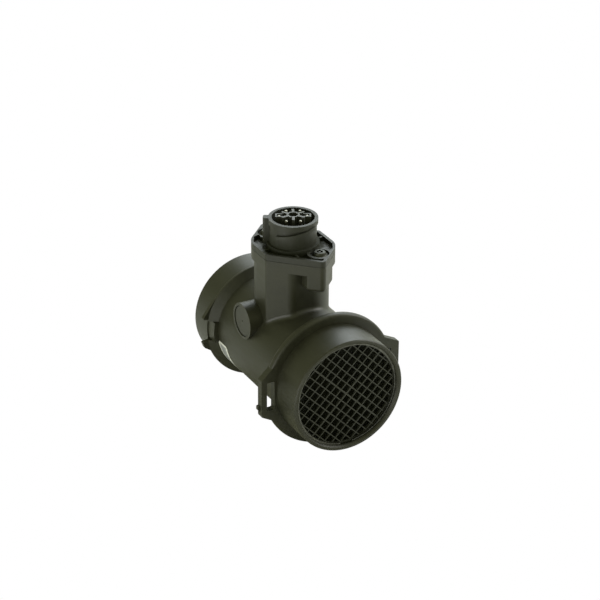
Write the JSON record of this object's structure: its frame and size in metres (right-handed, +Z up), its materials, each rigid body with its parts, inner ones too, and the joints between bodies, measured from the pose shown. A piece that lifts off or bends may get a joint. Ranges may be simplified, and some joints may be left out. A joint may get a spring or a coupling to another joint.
{
  "type": "mass airflow sensor",
  "caption": "Plastic air tube with a lattice inlet, slotted clip flange, side boss and a sensor tower with a round bayonet plug connector.",
  "frame": {"origin": "on the axis of the air tube, in the plane where the inlet flange seats", "axes": "+Y along the air flow, from the inlet collar to the outlet collar; +Z up along the tower to the connector; the round side boss looks along -X"},
  "size_m": [0.0952, 0.1307, 0.1307],
  "materials": {
    "housing_plastic": "moulded glass-filled plastic, dull",
    "cover_plastic": "moulded glass-filled plastic, dull",
    "grille_plastic": "moulded plastic, dull",
    "insert_plastic": "moulded plastic, dull",
    "plug_plastic": "moulded plastic, dull",
    "carrier_plastic": "moulded plastic, dull",
    "spring_steel": "blackened spring wire",
    "screw_steel": "black passivated steel",
    "contact_metal": "tinned contact",
    "seal_rubber": "matt seal rubber",
    "film_ceramic": "fired ceramic plate",
    "lead_film": "amber film lead",
    "bead_glass": "glazed bead",
    "board_laminate": "green solder resist",
    "chip_plastic": "moulded chip package",
    "capacitor_can": "plain can"
  },
  "bodies": {
    "root": {"housing": "housing_plastic", "inlet_grille": "grille_plastic", "grille_snap_ring": "spring_steel", "cover": "cover_plastic", "cover_gasket": "seal_rubber", "cover_screw_front": "screw_steel", "cover_screw_rear": "screw_steel", "pin_carrier": "insert_plastic", "contact_pin_1": "contact_metal", "contact_pin_2": "contact_metal", "contact_pin_3": "contact_metal", "contact_pin_4": "contact_metal", "contact_pin_5": "contact_metal", "contact_pin_6": "contact_metal", "sensor_carrier": "carrier_plastic", "carrier_seal": "seal_rubber", "carrier_screw_left": "screw_steel", "carrier_screw_right": "screw_steel", "hot_film_element": "film_ceramic", "flat_lead": "lead_film", "air_temperature_sensor": "bead_glass", "circuit_board": "board_laminate", "signal_chip": "chip_plastic", "filter_capacitor": "capacitor_can", "side_plug": "plug_plastic", "side_plug_seal": "seal_rubber"}
  },
  "joints": []
}
